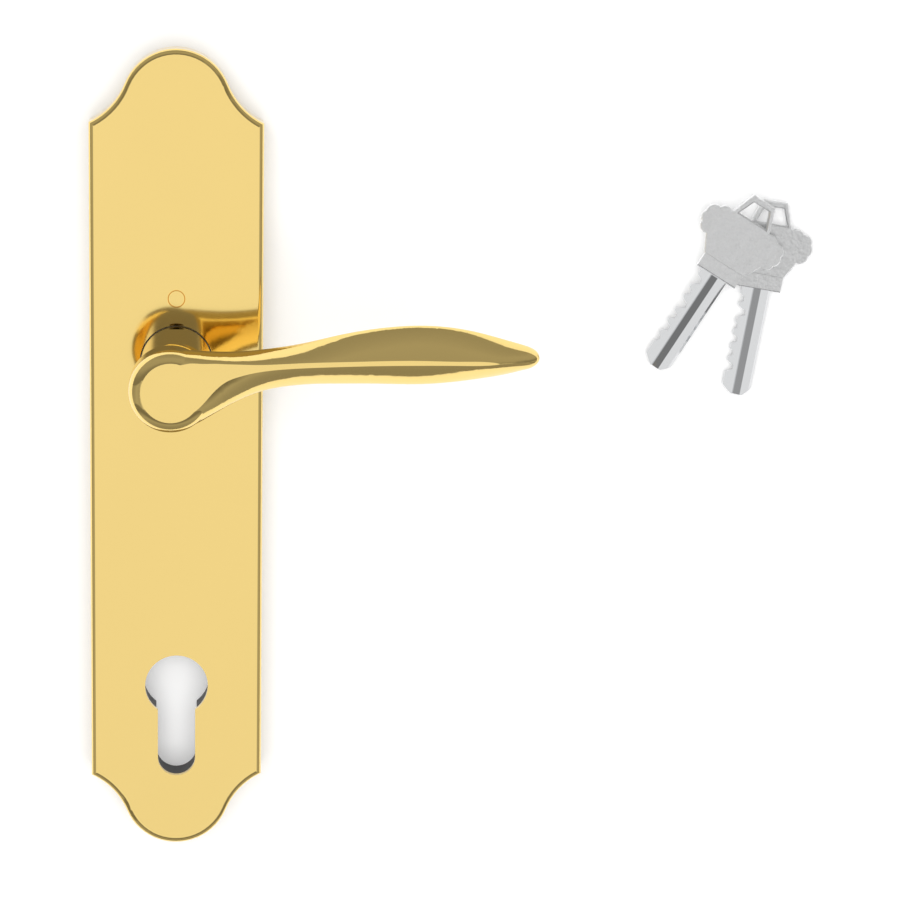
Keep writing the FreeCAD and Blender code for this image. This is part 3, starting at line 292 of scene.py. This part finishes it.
class HANDLE_OT_plate(Operator):
    """Finishes the cover plate, the flush stop pin and the studs"""

    bl_idname = "handle.plate"
    bl_label = "Plate"

    def execute(self, context):
        sizes = context.scene.handle_finishes
        brass = polished_metal(
            "Polished brass plate", sizes.brass, sizes.brass_roughness, 0.05, 45.0, 0.0000008, 0.012)
        dress("cover_plate", brass)
        raw = polished_metal("Machined brass", sizes.raw_brass, 0.16, 0.15, 300.0, 0.000004, 0.08)
        dress("stop_pin", brass)
        dress("cover_studs", raw)
        return {"FINISHED"}


class HANDLE_OT_lever(Operator):
    """Finishes the lever's head, grip and neck, and its grub screw"""

    bl_idname = "handle.lever"
    bl_label = "Lever"

    def execute(self, context):
        sizes = context.scene.handle_finishes
        brass = polished_metal(
            "Polished brass lever", sizes.brass, sizes.brass_roughness, 0.05, 60.0, 0.000002, 0.02)
        dress("lever_grip", brass)
        dress("lever_neck", brass)
        dress("grub_screw", grained_surface(
            "Black oxide steel", sizes.black_steel, 1.0, 0.3, 0.2, 2500.0, 0.00001, 0.2))
        return {"FINISHED"}


class HANDLE_OT_works(Operator):
    """Finishes the carrier, the spring works and the fixings behind the plate"""

    bl_idname = "handle.works"
    bl_label = "Works"

    def execute(self, context):
        sizes = context.scene.handle_finishes
        dress("carrier_plate", grained_surface(
            "Glass-filled nylon", sizes.carrier, 0.0, 0.42, 0.25, 1800.0, 0.00002, 0.25))
        dress("bearing_bush", grained_surface(
            "White nylon", sizes.bush, 0.0, 0.35, 0.1, 900.0, 0.000005, 0.05))
        zinc = grained_surface("Zinc plate", sizes.zinc, 1.0, 0.24, 0.2, 700.0, 0.000008, 0.1)
        for node in ("keeper_plate", "keeper_screws", "cover_screws", "upper_fixing_post",
                     "lower_fixing_post", "spring_driver"):
            dress(node, zinc)
        spring = polished_metal("Spring steel", tint(sizes.zinc, 0.6), 0.2, 0.2, 500.0, 0.000004, 0.15)
        for node in ("return_spring", "circlip", "wave_washer", "thrust_washer"):
            dress(node, spring)
        return {"FINISHED"}


class HANDLE_OT_keys(Operator):
    """Finishes the two keys"""

    bl_idname = "handle.keys"
    bl_label = "Keys"

    def execute(self, context):
        sizes = context.scene.handle_finishes
        for node, foot, lean in KEY_PLACES:
            dress(node, key_material(f"Nickel {node}", sizes.nickel, foot, lean, KEY_BLADE))
        return {"FINISHED"}


def camera_only(tree):
    """1 for camera, glossy and transmission rays, and 0 for the rest."""
    path = tree.nodes.new("ShaderNodeLightPath")
    total = math_node(tree, "ADD", path.outputs["Is Camera Ray"], path.outputs["Is Glossy Ray"], True)
    return math_node(tree, "ADD", total, path.outputs["Is Transmission Ray"], True)


def ramp_node(tree, value, stops):
    """A grey ramp from (position, level) pairs."""
    node = tree.nodes.new("ShaderNodeValToRGB")
    elements = node.color_ramp.elements
    while len(elements) > 1:
        elements.remove(elements[-1])
    elements[0].position = stops[0][0]
    elements[0].color = (stops[0][1],) * 3 + (1.0,)
    for position, level in stops[1:]:
        element = elements.new(position)
        element.color = (level, level, level, 1.0)
    tree.links.new(value, node.inputs["Fac"])
    return node.outputs["Color"]


UP_DOWN = (
    (0.00, 0.30), (0.06, 0.34), (0.13, 0.42), (0.20, 0.20), (0.27, 0.22), (0.31, 0.95), (0.47, 1.0),
    (0.495, 0.95), (0.52, 0.22), (0.60, 0.24), (0.75, 0.40), (0.90, 0.42), (1.00, 0.34))
SIDEWAYS = ((0.00, 0.34), (0.12, 0.46), (0.25, 0.40), (0.33, 0.9), (0.40, 1.0), (0.60, 1.0), (0.68, 0.9),
            (0.76, 0.40), (0.90, 0.46), (1.00, 0.34))


def build_world():
    """A studio: metal sees a bright panel overhead between darker flags, and the camera sees white."""
    world = bpy.data.worlds.new("Studio")
    bpy.context.scene.world = world
    world.use_nodes = True
    tree = world.node_tree
    tree.nodes.clear()
    place = tree.nodes.new("ShaderNodeTexCoord")
    split = tree.nodes.new("ShaderNodeSeparateXYZ")
    tree.links.new(place.outputs["Generated"], split.inputs[0])
    half = [math_node(tree, "MULTIPLY_ADD", split.outputs[k], 0.5, c=0.5) for k in range(2)]
    up_down = ramp_node(tree, half[1], UP_DOWN)
    sideways = ramp_node(tree, half[0], SIDEWAYS)
    lowest = tree.nodes.new("ShaderNodeMix")
    lowest.data_type = "RGBA"
    lowest.blend_type = "DARKEN"
    lowest.inputs["Factor"].default_value = 1.0
    tree.links.new(up_down, lowest.inputs["A"])
    tree.links.new(sideways, lowest.inputs["B"])
    path = tree.nodes.new("ShaderNodeLightPath")
    seen = tree.nodes.new("ShaderNodeBackground")
    seen.inputs["Color"].default_value = (1, 1, 1, 1)
    mirrored = tree.nodes.new("ShaderNodeBackground")
    tree.links.new(lowest.outputs["Result"], mirrored.inputs["Color"])
    ambient = tree.nodes.new("ShaderNodeBackground")
    ambient.inputs["Color"].default_value = (AMBIENT, AMBIENT, AMBIENT, 1)
    glossy = tree.nodes.new("ShaderNodeMixShader")
    tree.links.new(path.outputs["Is Glossy Ray"], glossy.inputs["Fac"])
    tree.links.new(ambient.outputs[0], glossy.inputs[1])
    tree.links.new(mirrored.outputs[0], glossy.inputs[2])
    final = tree.nodes.new("ShaderNodeMixShader")
    tree.links.new(path.outputs["Is Camera Ray"], final.inputs["Fac"])
    tree.links.new(glossy.outputs[0], final.inputs[1])
    tree.links.new(seen.outputs[0], final.inputs[2])
    out = tree.nodes.new("ShaderNodeOutputWorld")
    tree.links.new(final.outputs[0], out.inputs["Surface"])


def build_floor():
    """A plain pale table top at the height of the door face, with a little glow of its own for the eye."""
    size = TABLE_HALF
    mesh = bpy.data.meshes.new("Table")
    corners = [(-size, -size, 0), (size, -size, 0), (size, size, 0), (-size, size, 0)]
    mesh.from_pydata([(x, y, z - TABLE_DROP) for x, y, z in corners], [], [(0, 1, 2, 3)])
    floor = bpy.data.objects.new("Table", mesh)
    bpy.context.scene.collection.objects.link(floor)
    material, tree, shader = new_material("Pale table")
    shader.inputs["Roughness"].default_value = 0.9
    shader.inputs["Specular IOR Level"].default_value = 0.0
    grain = noise_node(tree, object_coordinates(tree), 220.0)
    tree.links.new(shade(tree, grain, (0.83, 0.83, 0.83), (0.85, 0.85, 0.85)), shader.inputs["Base Color"])
    seen = camera_only(tree)
    glow = math_node(tree, "MULTIPLY", seen, TABLE_GLOW)
    shader.inputs["Emission Color"].default_value = (1, 1, 1, 1)
    tree.links.new(glow, shader.inputs["Emission Strength"])
    mesh.materials.append(material)


def area_lamp(name, place, target, size, power):
    data = bpy.data.lights.new(name, "AREA")
    data.shape = "RECTANGLE"
    data.size, data.size_y = size
    data.energy = power
    lamp = bpy.data.objects.new(name, data)
    bpy.context.scene.collection.objects.link(lamp)
    lamp.location = place
    away = np.subtract(place, target)
    lamp.rotation_mode = "QUATERNION"
    lamp.rotation_quaternion = Vector(away).to_track_quat("Z", "Y")
    lamp.visible_glossy = False
    return lamp


class HANDLE_OT_stage(Operator):
    """Makes the table, the studio and the camera"""

    bl_idname = "handle.stage"
    bl_label = "Stage"

    def execute(self, context):
        scene = context.scene
        settings = scene.handle_stage
        scene.view_settings.view_transform = "Standard"
        build_world()
        build_floor()
        middle = (0.05, -0.025, 0.0)
        area_lamp("Softbox", (0.05, -0.10, 1.1), middle, (1.2, 1.2), settings.softbox * 4)
        area_lamp("Fill", (-0.5, 0.6, 0.9), middle, (0.8, 0.8), settings.softbox)
        tilt, swing = settings.tilt, settings.swing
        ahead = Vector((0, -math.sin(tilt), -math.cos(tilt)))
        upward = Vector((0, math.cos(tilt), -math.sin(tilt)))
        aside = Vector((1, 0, 0))
        target = Vector((0, -0.0247, 0.011))
        place = target - ahead * settings.distance
        forward = ahead * math.cos(swing) + aside * math.sin(swing)
        right = aside * math.cos(swing) - ahead * math.sin(swing)
        data = bpy.data.cameras.new("Camera")
        data.sensor_width = 36.0
        data.lens = settings.lens
        data.clip_start, data.clip_end = 0.05, 20.0
        camera = bpy.data.objects.new("Camera", data)
        scene.collection.objects.link(camera)
        camera.matrix_world = Matrix((
            (right.x, upward.x, -forward.x, place.x), (right.y, upward.y, -forward.y, place.y),
            (right.z, upward.z, -forward.z, place.z), (0, 0, 0, 1)))
        scene.camera = camera
        return {"FINISHED"}


OPERATORS = (
    HANDLE_OT_stage, HANDLE_OT_groups, HANDLE_OT_plate, HANDLE_OT_lever, HANDLE_OT_works, HANDLE_OT_keys)


class HANDLE_PT_panel(Panel):
    """Lists the pieces of the handle set"""

    bl_label = "Lever Handle"
    bl_idname = "HANDLE_PT_panel"
    bl_space_type = "VIEW_3D"
    bl_region_type = "UI"
    bl_category = "Lever Handle"

    def draw(self, context):
        for operator in OPERATORS:
            self.layout.operator(operator.bl_idname)


CLASSES = (HANDLE_PG_finishes, HANDLE_PG_stage, *OPERATORS, HANDLE_PT_panel)


def register():
    for made in CLASSES:
        bpy.utils.register_class(made)
    bpy.types.Scene.handle_finishes = PointerProperty(type=HANDLE_PG_finishes)
    bpy.types.Scene.handle_stage = PointerProperty(type=HANDLE_PG_stage)


def unregister():
    del bpy.types.Scene.handle_stage
    del bpy.types.Scene.handle_finishes
    for made in reversed(CLASSES):
        bpy.utils.unregister_class(made)


def run(idname):
    group, name = idname.split(".")
    getattr(getattr(bpy.ops, group), name)()


def main():
    register()
    for operator in OPERATORS:
        run(operator.bl_idname)


if __name__ == "__main__":
    main()
